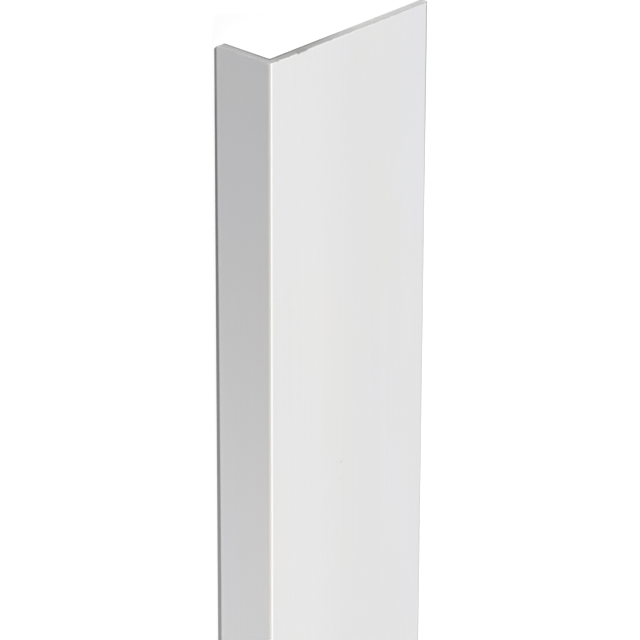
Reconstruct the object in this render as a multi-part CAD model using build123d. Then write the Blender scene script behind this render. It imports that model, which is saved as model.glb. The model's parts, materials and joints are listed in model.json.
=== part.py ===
from build123d import *
import math
import os

# A corner angle with unequal legs: one extruded bar of rigid white PVC, glued over an outside corner.
# Millimetres. X runs along the bar, +X to its sawn end nearest the viewer, and +Z is up.
# The bar lies as it comes to rest on a level floor: heel up, on the inner corners of its two free edges.

# The section, measured on its outer faces from the sharp corner that the rounded heel would have
wide_leg = 60.0
short_leg = 20.0
wall = 2.5
heel_radius = 1.0
root_radius = 0.5
edge_radius = 1.0

# One bar as it is sold
length = 1000.0

# A rounded free edge keeps a little of its flat end, so a thin wall takes a smaller radius
edge_rounding = min(edge_radius, 0.45 * wall)


def lying_plane():
    """The section's plane at rest, with the outer corner of the heel at its origin.

    Its x runs down the wide leg, towards -Y, and its y down the short leg, towards +Y.
    The floor touches the inner corners of both free edges, and their roundings are alike,
    so the floor is parallel to the line through those two corners, and that line gives the slope.
    """
    slope = math.atan2(short_leg - wall, wide_leg - wall)
    down_wide_leg = (0, -math.cos(slope), -math.sin(slope))
    return Plane(origin=(0, 0, 0), x_dir=down_wide_leg, z_dir=(1, 0, 0))


def nearest_corner(sketch, x, y):
    """The corner of the section that lies nearest to a point of its own plane."""
    return sketch.vertices().sort_by_distance((x, y, 0))[0]


def angle_section():
    """The L of the two legs, with a rounded heel, a small fillet in the root and rounded free edges."""
    corner_at_origin = (Align.MIN, Align.MIN)
    free_edge_corners = [
        (wide_leg, 0),
        (wide_leg, wall),
        (0, short_leg),
        (wall, short_leg),
    ]
    with BuildSketch(lying_plane()) as section:
        Rectangle(wide_leg, wall, align=corner_at_origin)
        Rectangle(wall, short_leg, align=corner_at_origin)
        fillet(nearest_corner(section, 0, 0), heel_radius)
        fillet(nearest_corner(section, wall, wall), root_radius)
        for x, y in free_edge_corners:
            fillet(nearest_corner(section, x, y), edge_rounding)
    return section.sketch


def angle_bar():
    """The section drawn out to the bar's length, both ends sawn square, then set down on the floor.

    The origin is on the floor, at the middle of the length and of the footprint.
    """
    bar = extrude(angle_section(), amount=length / 2, both=True)
    box = bar.bounding_box()
    return bar.moved(Location((0, -box.center().Y, -box.min.Z)))


os.makedirs("parts", exist_ok=True)
profile = angle_bar()
profile.label = "angle_profile"
export_step(profile, "parts/angle_profile.step")
box = profile.bounding_box()
print(f"angle_profile: {box.size.X:.1f} x {box.size.Y:.2f} x {box.size.Z:.2f} mm, {profile.volume / 1000:.2f} cm3")
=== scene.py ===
# %% [markdown]
# # A white PVC angle, lying heel up
#
# The object is one bar of corner trim: an L-section in rigid white PVC, extruded, cut to length
# on a chop saw and glued over an outside corner. It lies on its two free edges. The photograph
# looks along it from the sawn end, so here the camera looks down on the bar with that end at the top.
#
# First comes the packed model, which fixes every size and place. Its box is kept.

import json
import math

import bmesh
import bpy
from mathutils import Matrix, Vector, noise


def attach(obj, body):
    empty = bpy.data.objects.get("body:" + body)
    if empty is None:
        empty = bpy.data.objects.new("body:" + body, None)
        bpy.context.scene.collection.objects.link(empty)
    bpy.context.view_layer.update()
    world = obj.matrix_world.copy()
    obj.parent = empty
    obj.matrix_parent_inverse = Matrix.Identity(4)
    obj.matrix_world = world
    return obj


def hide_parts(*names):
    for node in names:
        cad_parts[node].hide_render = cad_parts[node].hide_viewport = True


mm = 0.001

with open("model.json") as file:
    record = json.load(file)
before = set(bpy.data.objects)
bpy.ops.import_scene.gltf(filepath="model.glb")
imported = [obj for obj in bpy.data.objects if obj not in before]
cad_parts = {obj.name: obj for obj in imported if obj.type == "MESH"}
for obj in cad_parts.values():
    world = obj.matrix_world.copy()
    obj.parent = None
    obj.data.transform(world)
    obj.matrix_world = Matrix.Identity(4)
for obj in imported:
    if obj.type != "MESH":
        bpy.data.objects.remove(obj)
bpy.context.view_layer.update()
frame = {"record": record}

# %% [markdown]
# ## Where the section lies
#
# The bar rests at a slope, so its own directions are easier to work in than the room's. The two
# glue faces are mounts in the record: the inner face of the short leg looks down the wide leg,
# and the inner face of the wide leg looks down the short one. Their axes and one of their
# positions give the section's two directions and the outer corner of the heel.

# %% The section's own directions
wide_leg = 60 * mm
short_leg = 20 * mm
wall = 2.5 * mm
heel_radius = 1.0 * mm
root_radius = 0.5 * mm
edge_radius = 1.0 * mm

mounts = {mount["name"]: mount for mount in frame["record"]["mounts"]}
along = Vector((1, 0, 0))
down_wide = Vector(mounts["short_leg_inner_face"]["axis"])
down_short = Vector(mounts["wide_leg_inner_face"]["axis"])
glue_face_middle = Vector(mounts["wide_leg_inner_face"]["pos_m"])
heel = glue_face_middle - down_wide * (wide_leg + wall) / 2 - down_short * wall
near_end = mounts["sawn_end_near"]["pos_m"][0]
far_end = mounts["sawn_end_far"]["pos_m"][0]


def place(x, wide, short):
    """The point x along the bar, wide down the wide leg and short down the short one."""
    return heel + along * x + down_wide * wide + down_short * short


def section_place(point):
    """How far a point lies down the wide leg and down the short one."""
    offset = point - heel
    return offset.dot(down_wide), offset.dot(down_short)


print("slope in degrees:", round(math.degrees(math.asin(-down_wide.z)), 2))

# %% [markdown]
# ## The bar with sharp corners
#
# An extruded bar is its section drawn out, so it is made that way: six corners, one face, one
# extrusion. The roundings come afterwards, as bevels on the edges that run along the bar. A
# bevel keeps the flat faces flat, and its segments can be as fine as the highlight on the heel needs.

# %% Draw the section out
section_corners = [
    (0, 0),
    (wide_leg, 0),
    (wide_leg, wall),
    (wall, wall),
    (wall, short_leg),
    (0, short_leg),
]


def sharp_bar():
    """The L-section drawn out from the far end to the near one, with sharp corners."""
    bm = bmesh.new()
    face = bm.faces.new([bm.verts.new(place(far_end, *corner)) for corner in section_corners])
    drawn = bmesh.ops.extrude_face_region(bm, geom=[face])
    new_corners = [item for item in drawn["geom"] if isinstance(item, bmesh.types.BMVert)]
    bmesh.ops.translate(bm, verts=new_corners, vec=along * (near_end - far_end))
    bmesh.ops.recalc_face_normals(bm, faces=bm.faces)
    return bm


def volume_cm3(bm):
    """The volume of a closed mesh in cubic centimetres."""
    return round(bm.calc_volume() * 1e6, 2)


bar = sharp_bar()
print("sharp bar:", len(bar.faces), "faces,", volume_cm3(bar), "cm3")

# %% [markdown]
# ## The roundings
#
# The die gives the heel a small radius, leaves a fillet in the root and rounds the free edges.
# The heel shows most: it draws the bright line down the bar, so it gets the most segments.

# %% Round the heel, the root and the free edges
heel_segments = 14
root_segments = 6
edge_segments = 8
parallel = 0.99
close_by = 0.01 * mm


def edges_along(bm, corner):
    """The edges that run along the bar through one corner of the section."""
    found = []
    for edge in bm.edges:
        first, second = (vertex.co for vertex in edge.verts)
        runs_along = abs((second - first).normalized().dot(along)) > parallel
        wide, short = section_place(first)
        if runs_along and math.hypot(wide - corner[0], short - corner[1]) < close_by:
            found.append(edge)
    return found


def round_edges(bm, edges, radius, segments):
    """Rolls a radius over some edges."""
    bmesh.ops.bevel(bm, geom=edges, offset=radius, offset_type="OFFSET", segments=segments, profile=0.5,
                    affect="EDGES", material=-1, clamp_overlap=True)


round_edges(bar, edges_along(bar, (0, 0)), heel_radius, heel_segments)
round_edges(bar, edges_along(bar, (wall, wall)), root_radius, root_segments)
for corner in ((wide_leg, 0), (wide_leg, wall), (0, short_leg), (wall, short_leg)):
    round_edges(bar, edges_along(bar, corner), edge_radius, edge_segments)
print("rounded bar:", len(bar.faces), "faces,", volume_cm3(bar), "cm3")

# %% [markdown]
# ## The arris of the saw cut
#
# The saw leaves a sharp arris all round both ends, and handling wears it a little. It could be
# left to a bump, but a real bevel catches the light along the whole cut. A twentieth of a
# millimetre is enough. The edges to bevel are those that lie in the plane of an end.

# %% Break the arris of both ends
arris_width = 0.05 * mm
arris_segments = 2
in_plane = 0.001 * mm


def distance_from_end(x, end):
    """How far a place along the bar is from one of its ends."""
    return abs(end - x)


def outline_of_end(bm, end):
    """The edges round one sawn end."""
    return [edge for edge in bm.edges
            if all(distance_from_end(vertex.co.x, end) < in_plane for vertex in edge.verts)]


for end in (near_end, far_end):
    round_edges(bar, outline_of_end(bar, end), arris_width, arris_segments)
print("with broken arrises:", len(bar.faces), "faces")

# %% [markdown]
# ## A fine grid at the ends
#
# The chips and the broken corner in the photograph are shapes, so the mesh needs small faces to
# carry them. Only the last few millimetres do: one cut parts each end from the long body, and
# the cuts that make the grid go through that short piece alone. Each cut gives back what it
# made, and the next one starts from that.

# %% Cut a grid into both ends
sawn_zone = 5.0 * mm
near_grid_step = 0.3 * mm
far_grid_step = 0.6 * mm
depth_step = 0.3 * mm
ring_distances = [0.16 * mm, 0.4 * mm, 0.8 * mm, 1.4 * mm, 2.2 * mm, 3.3 * mm]
cut_tolerance = 1e-7


def cut(bm, items, point, direction):
    """Cuts faces and edges with a plane, keeps both sides and gives back all the pieces."""
    return bmesh.ops.bisect_plane(bm, geom=items, plane_co=point, plane_no=direction,
                                  dist=cut_tolerance)["geom"]


def end_items(bm, end):
    """Every vertex, edge and face within the sawn zone of one end, once each, in the mesh's own order."""
    reach = sawn_zone + close_by
    faces = [f for f in bm.faces if all(distance_from_end(v.co.x, end) < reach for v in f.verts)]
    edges = dict.fromkeys(edge for face in faces for edge in face.edges)
    vertices = dict.fromkeys(vertex for face in faces for vertex in face.verts)
    return [*faces, *edges, *vertices]


def steps(start, stop, step):
    """Evenly spaced places between two others, without the first and the last."""
    count = max(1, round((stop - start) / step))
    return [start + (stop - start) * number / count for number in range(1, count)]


def cut_grid(bm, end, grid_step):
    """Cuts rings round an end and lines across both legs, near that end only."""
    inward = -1 if end > 0 else 1
    cut(bm, [*bm.faces, *bm.edges, *bm.verts], place(end + inward * sawn_zone, 0, 0), along)
    items = end_items(bm, end)
    for distance in ring_distances:
        items = cut(bm, items, place(end + inward * distance, 0, 0), along)
    for wide in steps(wall, wide_leg, grid_step):
        items = cut(bm, items, place(end, wide, 0), down_wide)
    for short in steps(wall, short_leg, grid_step):
        items = cut(bm, items, place(end, 0, short), down_short)
    for depth in steps(0, wall, depth_step):
        items = cut(bm, items, place(end, depth, 0), down_wide)
        items = cut(bm, items, place(end, 0, depth), down_short)


cut_grid(bar, near_end, near_grid_step)
cut_grid(bar, far_end, far_grid_step)
print("bar with its ends gridded:", len(bar.faces), "faces")

# %% [markdown]
# ## The unevenness of the cut
#
# Rigid PVC is brittle under a coarse blade. The face of the cut wanders by a few hundredths of a
# millimetre, and the outer arris is nibbled. Smooth noise across the section gives both, with a
# seed of its own for each, so that the two ends differ and every run is the same.

# %% How the blade wanders and nibbles
slow_wave = 14 * mm
slow_depth = 0.015 * mm
slow_seed = 3
fine_wave = 0.9 * mm
fine_depth = 0.012 * mm
fine_seed = 7
bite_size = 1.1 * mm
bite_depth = 0.3 * mm
bite_reach = 0.6 * mm
bite_threshold = 0.12
bite_seed = 21
seed_step = 10


def soft_step(value):
    """0 below 0, 1 above 1, and a smooth rise between them."""
    value = min(1.0, max(0.0, value))
    return value * value * (3 - 2 * value)


def ripple(wide, short, size, seed):
    """Smooth noise across the section, from -1 to 1, whose lumps have the given size."""
    return noise.noise(Vector((wide / size, short / size, seed)))


def blade_wander(wide, short, end):
    """The saw's own unevenness: a slow wave across the cut and a finer one on top."""
    slow = 1 + ripple(wide, short, slow_wave, slow_seed + seed_step * end)
    fine = 1 + ripple(wide, short, fine_wave, fine_seed + seed_step * end)
    return slow_depth * slow + fine_depth * fine


def arris_nibbles(wide, short, end):
    """Small bites out of the outer arris."""
    under_face = max(0.0, min(wide, short))
    near_arris = 1 - soft_step(under_face / bite_reach)
    bites = max(0.0, ripple(wide, short, bite_size, bite_seed + seed_step * end) - bite_threshold)
    return bite_depth * bites * near_arris


print("deepest nibble in mm, at most:", round(bite_depth * (1 - bite_threshold) / mm, 2))

# %% [markdown]
# ## The flake and the broken corner
#
# Here and there a flake comes away under the saw. The photograph shows one clear flake in the
# wide leg's arris, about 12 mm from the heel, and the short leg's outer corner broken off on a
# slope. Both are written as a depth at each place of the section, and belong to the near end alone.

# %% What has come away at the near end
flake_start = 9.5 * mm
flake_stop = 14.2 * mm
flake_slope = 0.9 * mm
flake_depth = 0.25 * mm
flake_reach = 1.5 * mm
flake_grain = 0.7 * mm
flake_roughness = 0.35
flake_seed = 41
break_start = 18.1 * mm
break_slope = 0.72
break_waver = 0.2 * mm
break_waver_size = 0.9 * mm
break_waver_seed = 57
break_grain = 0.5 * mm
break_roughness = 0.12
break_seed = 63


def flake(wide, short):
    """The flake out of the wide leg's arris: flat in the middle and rough, with short slopes."""
    profile = soft_step((wide - flake_start) / flake_slope) * soft_step((flake_stop - wide) / flake_slope)
    rough = 1 + flake_roughness * ripple(wide, short, flake_grain, flake_seed)
    return flake_depth * profile * rough * (1 - soft_step(short / flake_reach))


def broken_corner(wide, short):
    """The short leg's free corner, broken off on a slope through the whole wall."""
    edge_of_break = break_start + break_waver * ripple(wide, short, break_waver_size, break_waver_seed)
    past = max(0.0, short - edge_of_break)
    rough = 1 + break_roughness * ripple(wide, short, break_grain, break_seed)
    return break_slope * past * rough


print("flake, mm down the wide leg:", round(flake_start / mm, 1), "to", round(flake_stop / mm, 1))

# %% [markdown]
# ## Sawing the bar
#
# All of this only moves the end's vertices along the bar, so the outer faces stay flat. The move
# fades out a few millimetres in, where the grid ends.

# %% Shape the sawn ends
fade_length = 4.5 * mm


def recess(wide, short, end):
    """How far the sawn face lies inside the bar's full length."""
    depth = blade_wander(wide, short, end) + arris_nibbles(wide, short, end)
    if end == near_end:
        depth += flake(wide, short) + broken_corner(wide, short)
    return depth


for vertex in bar.verts:
    end = near_end if vertex.co.x > 0 else far_end
    distance = distance_from_end(vertex.co.x, end)
    if distance < fade_length:
        wide, short = section_place(vertex.co)
        moved_in = recess(wide, short, end) * (1 - distance / fade_length)
        vertex.co.x += -moved_in if end > 0 else moved_in
places = [vertex.co.x for vertex in bar.verts]
print("length left after sawing in mm:", round((max(places) - min(places)) / mm, 3))

# %% [markdown]
# ## One mesh, two surfaces
#
# The sawn faces are matt and the extruded ones have a soft gloss, so they get a material each.
# Every face is shaded smooth, and a weighted-normal modifier lets the large flat faces keep
# their own direction right up to the roundings.

# %% Turn the bar into a piece
end_facing = 0.55
end_reach = 2 * mm
doubles_distance = 0.002 * mm
flat_face_weight = 100


def is_sawn(face):
    """True for the faces of the two sawn ends."""
    x = face.calc_center_median().x
    near = min(distance_from_end(x, near_end), distance_from_end(x, far_end)) < end_reach
    return near and abs(face.normal.x) > end_facing


bmesh.ops.remove_doubles(bar, verts=bar.verts, dist=doubles_distance)
bar.normal_update()
for face in bar.faces:
    face.smooth = True
    face.material_index = 1 if is_sawn(face) else 0
open_edges = [edge for edge in bar.edges if len(edge.link_faces) != 2]
print("open edges:", len(open_edges), "volume:", volume_cm3(bar), "cm3")

mesh = bpy.data.meshes.new("pvc_angle")
bar.to_mesh(mesh)
bar.free()
angle = bpy.data.objects.new("pvc_angle", mesh)
bpy.context.scene.collection.objects.link(angle)
normals = angle.modifiers.new("flat faces stay flat", "WEIGHTED_NORMAL")
normals.weight = flat_face_weight
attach(angle, "root")
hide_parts("angle_profile")

# %% [markdown]
# ## Writing materials as sums
#
# Shader maths is easier to read as a formula than as a tree of boxes. A small class wraps one
# socket, and its operators add the Math nodes. Everything else goes through one method that
# makes a node, sets it up and feeds its sockets.

# %% A socket that can be reckoned with
class Term:
    """One output socket of a node tree, usable in a formula."""

    def __init__(self, recipe, socket):
        self.recipe = recipe
        self.socket = socket

    def math(self, operation, first, second=0.0):
        """A Math node on two values."""
        return self.recipe.node("ShaderNodeMath", {"operation": operation}, {0: first, 1: second})

    def __add__(self, other):
        return self.math("ADD", self, other)

    def __radd__(self, other):
        return self.math("ADD", other, self)

    def __sub__(self, other):
        return self.math("SUBTRACT", self, other)

    def __rsub__(self, other):
        return self.math("SUBTRACT", other, self)

    def __mul__(self, other):
        return self.math("MULTIPLY", self, other)

    def __rmul__(self, other):
        return self.math("MULTIPLY", other, self)

    def size(self):
        """The value without its sign."""
        return self.math("ABSOLUTE", self)

    def sine(self):
        """The sine of the value."""
        return self.math("SINE", self)

    def lesser(self, other):
        """The smaller of two values."""
        return self.math("MINIMUM", self, other)

    def rise(self, start, stop):
        """0 before start, 1 after stop, and a smooth rise between them."""
        return self.recipe.node("ShaderNodeMapRange", {"interpolation_type": "SMOOTHSTEP"},
                                {"Value": self, "From Min": start, "From Max": stop})

    def fall(self, start, stop):
        """1 before start, 0 after stop."""
        return 1 - self.rise(start, stop)

    def stretched(self, factors):
        """A vector with each of its parts multiplied."""
        return self.recipe.node("ShaderNodeVectorMath", {"operation": "MULTIPLY"}, {0: self, 1: factors})

    def distance(self, point):
        """How far a vector lies from a fixed point."""
        return self.recipe.node("ShaderNodeVectorMath", {"operation": "DISTANCE"}, {0: self, 1: point},
                                output="Value")


print("reflected operators:", [name for name in vars(Term) if name.startswith("__r")])

# %% [markdown]
# ## A tree and its nodes
#
# The recipe owns a node tree. Its one node method does all the wiring, and the short methods
# after it name the few things that this scene makes again and again: a mix of two colours, a
# shaded colour, noise, a bump.

# %% A recipe for one material
class Recipe:
    """The node tree of one material, or of the world."""

    def __init__(self, owner):
        owner.use_nodes = True
        self.owner = owner
        self.tree = owner.node_tree
        self.tree.nodes.clear()

    def node(self, kind, settings=None, inputs=None, output=0):
        """Adds a node, sets it up, feeds its sockets and gives one of its outputs."""
        made = self.tree.nodes.new(kind)
        for name, value in (settings or {}).items():
            setattr(made, name, value)
        for name, value in (inputs or {}).items():
            if isinstance(value, Term):
                self.tree.links.new(value.socket, made.inputs[name])
            else:
                made.inputs[name].default_value = value
        return Term(self, made.outputs[output])

    def mix(self, factor, first, second):
        """One colour turning into another."""
        return self.node("ShaderNodeMix", {"data_type": "RGBA"}, {0: factor, 6: first, 7: second}, output=2)

    def shade(self, colour, value):
        """A colour made darker or lighter by a value."""
        grey = self.node("ShaderNodeCombineXYZ", {}, {"X": value, "Y": value, "Z": value})
        return self.node("ShaderNodeVectorMath", {"operation": "MULTIPLY"}, {0: colour, 1: grey})

    def lumps(self, where, scale, detail=2.0, roughness=0.5):
        """Noise from -1 to 1 with that many lumps to each unit of its coordinates."""
        made = self.node("ShaderNodeTexNoise", {}, {"Vector": where, "Scale": scale, "Detail": detail,
                                                    "Roughness": roughness})
        return 2 * made - 1

    def bumps(self, height):
        """A normal tilted by a height in metres."""
        return self.node("ShaderNodeBump", {}, {"Height": height, "Distance": 1.0, "Strength": 1.0})

    def finish(self, surface, kind="ShaderNodeOutputMaterial"):
        """Joins the finished surface to the tree's output."""
        output = self.tree.nodes.new(kind)
        self.tree.links.new(surface.socket, output.inputs["Surface"])
        return self.owner


def grey(value):
    """A colour socket's value for a plain grey."""
    return value, value, value, 1


def blended(strengths, patterns):
    """The sum of some patterns, each times its strength. A strength of 0 adds no node."""
    total = 0.0
    for strength, pattern in zip(strengths, patterns):
        if strength:
            total = total + strength * pattern
    return total


print("shader maths ready")

# %% [markdown]
# ## Coordinates of the section
#
# Marks on an extruded bar follow its section: lines from the die run along it, grime gathers at
# an edge. A Mapping node turns the object's own coordinates into millimetres along the bar, down
# the wide leg and down the short leg, so a mark is placed by the measure on a ruler. From here
# on, lengths in the materials are in millimetres.

# %% Turn object coordinates into the section's
section_turn = math.atan2(down_short.y, down_wide.y)


class SectionRecipe(Recipe):
    """A material that knows how far along and down each leg a point lies, in millimetres."""

    def __init__(self, name):
        super().__init__(bpy.data.materials.new(name))
        heel_from_origin = Matrix.Rotation(section_turn, 3, "X") @ heel / mm
        position = self.node("ShaderNodeTexCoord", {}, {}, output="Object")
        self.point = self.node("ShaderNodeMapping", {"vector_type": "POINT"}, {
            "Vector": position, "Location": -heel_from_origin,
            "Rotation": (section_turn, 0, 0), "Scale": (1 / mm, 1 / mm, 1 / mm)})
        self.along = self.split("X")
        self.wide = self.split("Y")
        self.short = self.split("Z")
        self.from_near = near_end / mm - self.along

    def split(self, axis):
        """One part of the section's coordinates."""
        return self.node("ShaderNodeSeparateXYZ", {}, {"Vector": self.point}, output=axis)

    def drawn_out(self, squeeze):
        """Coordinates squeezed along the bar, which draw a pattern out into lines."""
        return self.point.stretched((squeeze, 1.0, 1.0))


print("turn of the section in degrees:", round(math.degrees(section_turn), 2))

# %% [markdown]
# ## What the die and handling leave
#
# Rigid PVC leaves the die almost white, with a soft satin gloss. Close up it isn't flawless: the
# die draws faint lines along it, the cooling leaves clouds and a slight orange peel, and packing
# and stacking leave dull scuffs. Each is a noise with its own number of lumps to the millimetre.
# The scuffs come in patches, so one noise says where they are and another what they look like.

# %% Lines, clouds, peel and scuffs
die_lines_per_mm = 1.6
die_line_squeeze = 0.004
fine_lines_per_mm = 7.0
fine_line_squeeze = 0.02
clouds_per_mm = 0.045
cloud_squeeze = 0.35
peel_per_mm = 0.9
scuffs_per_mm = 0.8
scuff_patches_per_mm = 0.03
scuff_squeeze = (0.06, 0.9, 0.9)
scuff_limits = (0.28, 0.6)
scuff_patch_limits = (0.0, 0.5)


def skin_patterns(pvc):
    """The die's coarse and fine lines, the clouds, the orange peel and the scuffs."""
    die_lines = pvc.lumps(pvc.drawn_out(die_line_squeeze), die_lines_per_mm, detail=3.0, roughness=0.65)
    fine_lines = pvc.lumps(pvc.drawn_out(fine_line_squeeze), fine_lines_per_mm)
    clouds = pvc.lumps(pvc.drawn_out(cloud_squeeze), clouds_per_mm, detail=3.0)
    peel = pvc.lumps(pvc.point, peel_per_mm, detail=1.0)
    scuffs = pvc.lumps(pvc.point.stretched(scuff_squeeze), scuffs_per_mm, detail=5.0, roughness=0.7)
    patches = pvc.lumps(pvc.point, scuff_patches_per_mm, detail=1.0)
    scuffed = scuffs.rise(*scuff_limits) * patches.rise(*scuff_patch_limits)
    return die_lines, fine_lines, clouds, peel, scuffed


print("die lines to the millimetre:", die_lines_per_mm)

# %% [markdown]
# ## Painted shade on the free edges
#
# On the short leg a strip of painted shade runs along the free edge. It starts a little over a
# millimetre from the edge and gets wider with the distance from the sawn end. Its start wavers, and a
# faint painted highlight line runs beside it. It could be a groove, but nothing in the photograph says
# so, and a darker tint gives the same strip. On the wide leg only the rounding of the free edge is painted
# in shade.

# %% Painted shade along the free edges
outer_face = (0.9, 1.3)
strip_start = 18.6
strip_widening = 0.5
strip_widens_over = (0, 160)
strip_waver = 0.12
strip_wavers_per_mm = 0.02
strip_softness = 0.15
# Painted shade: how dark the strip is, and how much less dark it is near the sawn end and far from it.
painted_strip_shade = 0.72
less_dark_near = 0.10
less_dark_near_over = (8, 20)
less_dark_far = 0.16
less_dark_far_over = (40, 170)
# A painted highlight line beside the strip of painted shade.
highlight_line_gap = 0.75
highlight_line_limits = (0.15, 0.6)
highlight_line_strength = 0.03
# Painted shade on the wide leg's rounded free edge, darker near the sawn end.
wide_edge_limits = (58.8, 59.3)
painted_wide_edge_shade = 0.28
painted_wide_edge_shade_near = 0.37
wide_edge_near_over = (18, 62)


def painted_edge_shade(pvc):
    """Where the short leg's strip of painted shade lies, and how much light its painted shade and painted
    highlight line take or add.
    """
    waver = pvc.lumps(pvc.point.stretched((1.0, 0.0, 0.0)), strip_wavers_per_mm)
    start = strip_start - strip_widening * pvc.from_near.rise(*strip_widens_over) - strip_waver * waver
    on_short_face = pvc.wide.fall(*outer_face)
    strip = (pvc.short - start).rise(-strip_softness, strip_softness) * on_short_face
    highlight_line = (pvc.short - start + highlight_line_gap).size().fall(*highlight_line_limits) * on_short_face
    darkness = (painted_strip_shade - less_dark_near * pvc.from_near.fall(*less_dark_near_over)
                - less_dark_far * pvc.from_near.rise(*less_dark_far_over))
    return strip, highlight_line_strength * highlight_line - darkness * strip


def painted_rounding_shade(pvc):
    """How much light the painted shade on the wide leg's rounded free edge takes."""
    rounding = pvc.wide.rise(*wide_edge_limits) * pvc.short.fall(*outer_face)
    darkness = painted_wide_edge_shade + painted_wide_edge_shade_near * pvc.from_near.fall(*wide_edge_near_over)
    return darkness * rounding


print("grey strip starts, mm down the short leg:", strip_start)

# %% [markdown]
# ## Painted highlight on the arris and painted shade on the wide leg
#
# The skin is painted a little lighter along the arris of both cuts, a painted highlight, most of
# all on the wide leg's half by the heel. The wide leg's outer half is painted a trace darker, as
# painted shade where the light falls off. Both are slow changes, so they are only a factor on the colour.

# %% Painted light and shade across the skin
# Painted highlight along the arris of both cuts.
painted_arris_light_limits = (0.25, 0.55)
painted_arris_light = 0.05
painted_arris_light_on_wide = 0.08
painted_arris_light_on_wide_over = (28, 46)
# Painted shade: the wide leg's outer half is darker, as where the light falls off across it.
painted_falloff_shade_over = (14, 34)
painted_falloff_shade = 0.033


def painted_skin_light(pvc):
    """The painted highlight along the arris, less the painted shade on the wide leg's outer half."""
    arris = (near_end / mm - pvc.along.size()).fall(*painted_arris_light_limits)
    on_wide = pvc.short.fall(*outer_face) * pvc.wide.fall(*painted_arris_light_on_wide_over)
    return arris * (painted_arris_light + painted_arris_light_on_wide * on_wide) - painted_falloff_shade * pvc.wide.rise(*painted_falloff_shade_over)


print("whitened arris in mm:", painted_arris_light_limits[1])

# %% [markdown]
# ## Specks
#
# Three tiny specks lie on the wide leg, such as grit leaves. They are placed one by one, because a
# noise would scatter them anywhere. Each is a darker dot and a shallow dent.

# %% Three specks
specks = [
    # from the near end, down the wide leg, radius, darkness
    (121.2, 27.3, 0.75, 0.12),
    (126.2, 26.9, 0.75, 0.05),
    (120.6, 25.6, 0.50, 0.06),
]
speck_core = 0.2


def specks_on(pvc):
    """The specks' darkness at each place."""
    darkness = 0.0
    for from_near, down, radius, strength in specks:
        away = pvc.point.distance((near_end / mm - from_near, down, 0))
        darkness = darkness + strength * away.fall(speck_core * radius, radius)
    return darkness


print("specks:", len(specks))

# %% [markdown]
# ## More than one white
#
# A white bar under soft light still has warmer and cooler areas. A slow noise mixes a warm white
# with a cool one, the short leg and the wide leg's free edge lean to the cool side, and the
# rounding of the heel is the warmest.

# %% Tints of the white
warm_white = (0.8255, 0.819, 0.808, 1)
cool_white = (0.8190, 0.820, 0.838, 1)
heel_white = (0.832, 0.820, 0.797, 1)
tint_squeeze = 0.3
tints_per_mm = 0.06
tint_limits = (-0.5, 0.5)
cool_everywhere = 0.1
cool_in_tint = 0.7
cool_on_short = 0.3
cool_on_short_over = (1.0, 3.0)
cool_by_edge = 0.4
cool_by_edge_over = (40, 58)


def tinted_white(pvc, heel_round):
    """White with slow warm and cool areas, and warmer on the heel."""
    tint = pvc.lumps(pvc.drawn_out(tint_squeeze), tints_per_mm).rise(*tint_limits)
    cool = (cool_everywhere + cool_in_tint * tint + cool_on_short * pvc.short.rise(*cool_on_short_over)
            + cool_by_edge * pvc.wide.rise(*cool_by_edge_over))
    return pvc.mix(heel_round, pvc.mix(cool, warm_white, cool_white), heel_white)


print("tints: warm, cool and heel")

# %% [markdown]
# ## The extruded faces
#
# Now the parts go together. A small table says how strongly each pattern shows in the colour,
# in the roughness and in the height. All the strengths are weak, so that the bar still reads as
# clean and new. Scuffs are darker, rougher and lower at once, which is how the eye knows them.

# %% White PVC from the die
pvc_ior = 1.53
satin = 0.30
strip_roughness = 0.2
heel_roughness = 0.12
heel_round_limits = (0.9, 1.6)
speck_depth = 0.2 * mm

# strengths for the die lines, fine lines, clouds, peel and scuffs
in_colour = (0.030, 0.012, 0.014, 0, -0.030)
in_roughness = (0.015, 0, 0.03, 0, 0.14)
in_height = (0.0030 * mm, 0.0008 * mm, 0, 0.0050 * mm, -0.0030 * mm)


def extruded_pvc():
    """Satin white PVC with die lines, orange peel and scuffs, and painted light and shade at its edges."""
    pvc = SectionRecipe("extruded PVC")
    patterns = skin_patterns(pvc)
    strip, painted_edge_light = painted_edge_shade(pvc)
    specked = specks_on(pvc)
    heel_round = (pvc.wide + pvc.short).fall(*heel_round_limits)

    marks = 1 + blended(in_colour, patterns) - specked
    # Painted shade at the free edges and on the wide leg's outer half, painted highlights along the arris
    # and beside the strip.
    edges = 1 + painted_edge_light - painted_rounding_shade(pvc) + painted_skin_light(pvc)
    roughness = (satin + blended(in_roughness, patterns) + strip_roughness * strip
                 + heel_roughness * heel_round)
    height = blended(in_height, patterns) - speck_depth * specked
    surface = pvc.node("ShaderNodeBsdfPrincipled", {}, {
        "Base Color": pvc.shade(tinted_white(pvc, heel_round), marks * edges),
        "Roughness": roughness, "IOR": pvc_ior, "Normal": pvc.bumps(height)})
    return pvc.finish(surface)


mesh.materials.append(extruded_pvc())
print("extruded PVC:", len(mesh.materials[0].node_tree.nodes), "nodes")

# %% [markdown]
# ## How light the cut is
#
# The blade tears the plastic rather than cutting it, so the cut is greyer and more matt than the
# skin. A painted highlight runs along its outer arris, and painted shade along its inner rim, most
# of all by the root. The wide leg's far half is lighter. The brightness is worked out from these.

# %% Brightness of the cut
cut_brightness = 0.68
duller_on_wide = 0.11
wide_leg_over = (2.0, 4.5)
# The wide leg's cut grows lighter towards its far half.
far_lighter_by = 0.30
far_lighter_over = (15.0, 37.0)
# Painted highlight along the cut's outer arris.
arris_highlight_limits = (0.1, 0.6)
arris_highlight_strength = 0.16
# Painted shade along the cut's inner rim, strongest by the root.
rim_limits = (1.45, 2.15)
painted_rim_shade = 0.26
painted_rim_shade_on_wide = 0.04
painted_rim_shade_by_root = 0.16
root_over = (3.0, 14.0)


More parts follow.
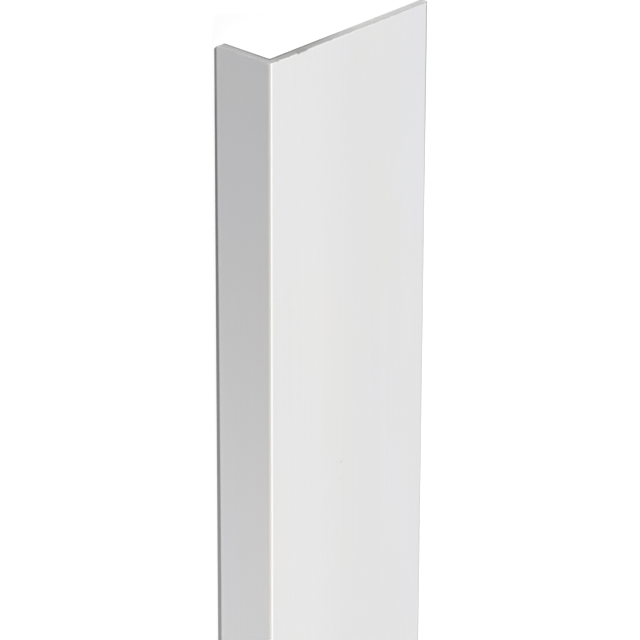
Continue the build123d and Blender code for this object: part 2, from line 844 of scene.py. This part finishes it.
def cut_level(cut_face):
    """How much light the cut gives back, before the saw marks."""
    on_wide = cut_face.wide.rise(*wide_leg_over)
    far_lighter = cut_face.wide.rise(*far_lighter_over)
    by_root = cut_face.short.fall(*root_over) * (1 - on_wide)
    under_skin = cut_face.wide.lesser(cut_face.short)
    # Painted shade along the inner rim.
    rim = under_skin.rise(*rim_limits) * (
        painted_rim_shade + painted_rim_shade_on_wide * on_wide + painted_rim_shade_by_root * by_root)
    # Painted highlight along the outer arris.
    arris_highlight = arris_highlight_strength * under_skin.fall(*arris_highlight_limits)
    return cut_brightness - duller_on_wide * on_wide + far_lighter_by * far_lighter + (arris_highlight - rim) * (1 - far_lighter)


print("brightness of the cut:", cut_brightness)

# %% [markdown]
# ## The sawn faces
#
# A chop saw's teeth leave marks on large arcs, centred far below the bar, a few to the
# millimetre. The arcs come from the distance to the blade's centre, as a sine of it, and a
# noise makes them wobble. A fine noise stands for the torn grain between them.

# %% Sawn PVC
blade_radius = 127.0
blade_centre_wide = 20.0
mark_spacing = 0.42
mark_wobble = 0.12
wobbles_per_mm = 0.7
tears_per_mm = 4.0
patches_per_mm = 0.45
cut_tint = (1, 1, 0.99)
cut_roughness = 0.58
torn_roughness = 0.06

# strengths for the saw marks, the torn grain and the patches
cut_in_colour = (0.03, 0.05, 0.04)
cut_in_height = (0.006 * mm, 0.012 * mm, 0)


def sawn_pvc():
    """Dull grey-white PVC with the arcs of the saw blade."""
    cut_face = SectionRecipe("sawn PVC")
    across = cut_face.point.stretched((0.0, 1.0, 1.0))
    from_centre = across.distance((0.0, blade_centre_wide, blade_radius))
    wobble = cut_face.lumps(across, wobbles_per_mm)
    turns = (from_centre + mark_wobble * wobble) * (2 * math.pi / mark_spacing)
    marks = turns.sine()
    torn = cut_face.lumps(across, tears_per_mm, detail=4.0, roughness=0.7)
    patches = cut_face.lumps(across, patches_per_mm)
    patterns = (marks, torn, patches)

    brightness = cut_level(cut_face) * (1 + blended(cut_in_colour, patterns))
    surface = cut_face.node("ShaderNodeBsdfPrincipled", {}, {
        "Base Color": cut_face.shade(cut_tint, brightness),
        "Roughness": cut_roughness + torn_roughness * torn,
        "IOR": pvc_ior, "Normal": cut_face.bumps(blended(cut_in_height, patterns))})
    return cut_face.finish(surface)


mesh.materials.append(sawn_pvc())
print("sawn PVC:", len(mesh.materials[1].node_tree.nodes), "nodes")

# %% [markdown]
# ## The floor
#
# The photograph is cut out on white. A pale floor that glows gives the same clean ground, and
# its little share of plain white still takes a faint shadow. It is very wide, so that a low view
# never sees its edge, and a hair lower than the bar, so that their faces never coincide.

# %% Floor
floor_half_width = 60.0
floor_drop = 0.02 * mm
floor_whiteness = 0.18
floor_glow = 0.94
floor_roughness = 0.9

floor_bm = bmesh.new()
bmesh.ops.create_grid(floor_bm, x_segments=1, y_segments=1, size=floor_half_width)
floor_mesh = bpy.data.meshes.new("floor")
floor_bm.to_mesh(floor_mesh)
floor_bm.free()
floor = bpy.data.objects.new("floor", floor_mesh)
bpy.context.scene.collection.objects.link(floor)
floor.location.z = -floor_drop


def pale_floor():
    """A matt floor whose white is mostly a glow of its own."""
    matt = Recipe(bpy.data.materials.new("pale floor"))
    surface = matt.node("ShaderNodeBsdfPrincipled", {}, {
        "Base Color": grey(floor_whiteness), "Roughness": floor_roughness, "Specular IOR Level": 0.0,
        "Emission Color": grey(1), "Emission Strength": floor_glow})
    return matt.finish(surface)


floor_mesh.materials.append(pale_floor())
print("floor:", 2 * floor_half_width, "m wide")

# %% [markdown]
# ## The light
#
# One large soft light stands beyond the far end on the wide leg's side. It lights the wide leg
# and leaves the short leg in half shade, and the rounding of the heel mirrors it as a bright
# line. A sun with a wide angle is such a light, and it is as bright at one end as at the other.
# The photograph's short leg brightens with the distance from the sawn end. A low strip light
# beside the bar does that: it stays below the wide leg's plane, so only the short leg sees it,
# and its slats keep its light off the last few centimetres.

# %% Lights
key_from = (-0.84, -0.60, 1.71)
key_angle = 12
key_strength = 3.03
low_light_from = (0.0, 0.33, 0.045)
low_light_towards = (0.0, 0.03, 0.012)
low_light_length = 0.8
low_light_width = 0.05
low_light_spread = 53
low_light_watts = 0.084


def aimed(name, data, position, target):
    """Puts a light at a position, turned towards a target and left out of the picture."""
    light = bpy.data.objects.new(name, data)
    light.location = position
    light.rotation_euler = (Vector(target) - Vector(position)).to_track_quat("-Z", "Y").to_euler()
    light.visible_camera = False
    bpy.context.scene.collection.objects.link(light)
    return light


key = bpy.data.lights.new("key", "SUN")
key.angle = math.radians(key_angle)
key.energy = key_strength
aimed("key", key, key_from, (0, 0, 0))

low_light = bpy.data.lights.new("low strip", "AREA")
low_light.shape = "RECTANGLE"
low_light.size = low_light_length
low_light.size_y = low_light_width
low_light.spread = math.radians(low_light_spread)
low_light.energy = low_light_watts
aimed("low strip", low_light, low_light_from, low_light_towards)
print("lights: a soft key and a low strip")

# %% [markdown]
# ## The room
#
# The rest of the light comes from all round. The world is a dark grey overhead, which keeps the
# short leg in half shade, and white at the horizon, so that the floor runs out into it without
# a line.

# %% World
overhead_strength = 0.10
horizon_strength = 1.0
horizon_height = 0.11


def studio_world():
    """A grey dome with a white horizon."""
    dome = Recipe(bpy.data.worlds.new("studio"))
    direction = dome.node("ShaderNodeTexCoord", {}, {}, output="Generated")
    height = dome.node("ShaderNodeSeparateXYZ", {}, {"Vector": direction}, output="Z")
    by_horizon = height.size().fall(0.5 * horizon_height, 1.5 * horizon_height)
    strength = overhead_strength + (horizon_strength - overhead_strength) * by_horizon
    background = dome.node("ShaderNodeBackground", {}, {"Color": grey(1), "Strength": strength})
    return dome.finish(background, "ShaderNodeOutputWorld")


bpy.context.scene.world = studio_world()
bpy.context.scene.view_settings.view_transform = "Standard"
print("world ready")

# %% [markdown]
# ## The camera
#
# The photograph was taken with a long lens from a little over a metre away. Its place was worked
# out from the bar's edges in the picture, in the bar's own directions: how far round the heel,
# how far up towards the sawn end, and how far away.

# %% Camera at the photograph's viewing angle
round_heel = math.radians(42.574)
towards_end = math.radians(24.872)
roll = math.radians(0.216)
lens_pixels = 4619
picture_pixels = 640
sensor_mm = 36
camera_distance = 1155.2 * mm
aim_right = -0.010817
aim_up = 0.055432

back = (-math.cos(towards_end) * math.cos(round_heel) * down_wide
        - math.cos(towards_end) * math.sin(round_heel) * down_short
        + math.sin(towards_end) * along)
level_right = along.cross(back).normalized()
level_up = back.cross(level_right)
right = math.cos(roll) * level_right + math.sin(roll) * level_up
up = math.cos(roll) * level_up - math.sin(roll) * level_right

camera_data = bpy.data.cameras.new("camera")
camera_data.lens = sensor_mm * lens_pixels / picture_pixels
camera_data.sensor_width = sensor_mm
camera_data.clip_start = 0.05
camera_data.clip_end = 100
camera = bpy.data.objects.new("camera", camera_data)
eye = place(near_end, 0, 0) + camera_distance * (back - aim_right * right - aim_up * up)
turn = Matrix((right, up, back)).transposed().to_4x4()
camera.matrix_world = Matrix.Translation(eye) @ turn
bpy.context.scene.collection.objects.link(camera)
bpy.context.scene.camera = camera
print("camera at", [round(value, 3) for value in eye], "lens in mm:", round(camera_data.lens, 1))

# %% [markdown]
# The finished piece has to stay inside the CAD model's box.
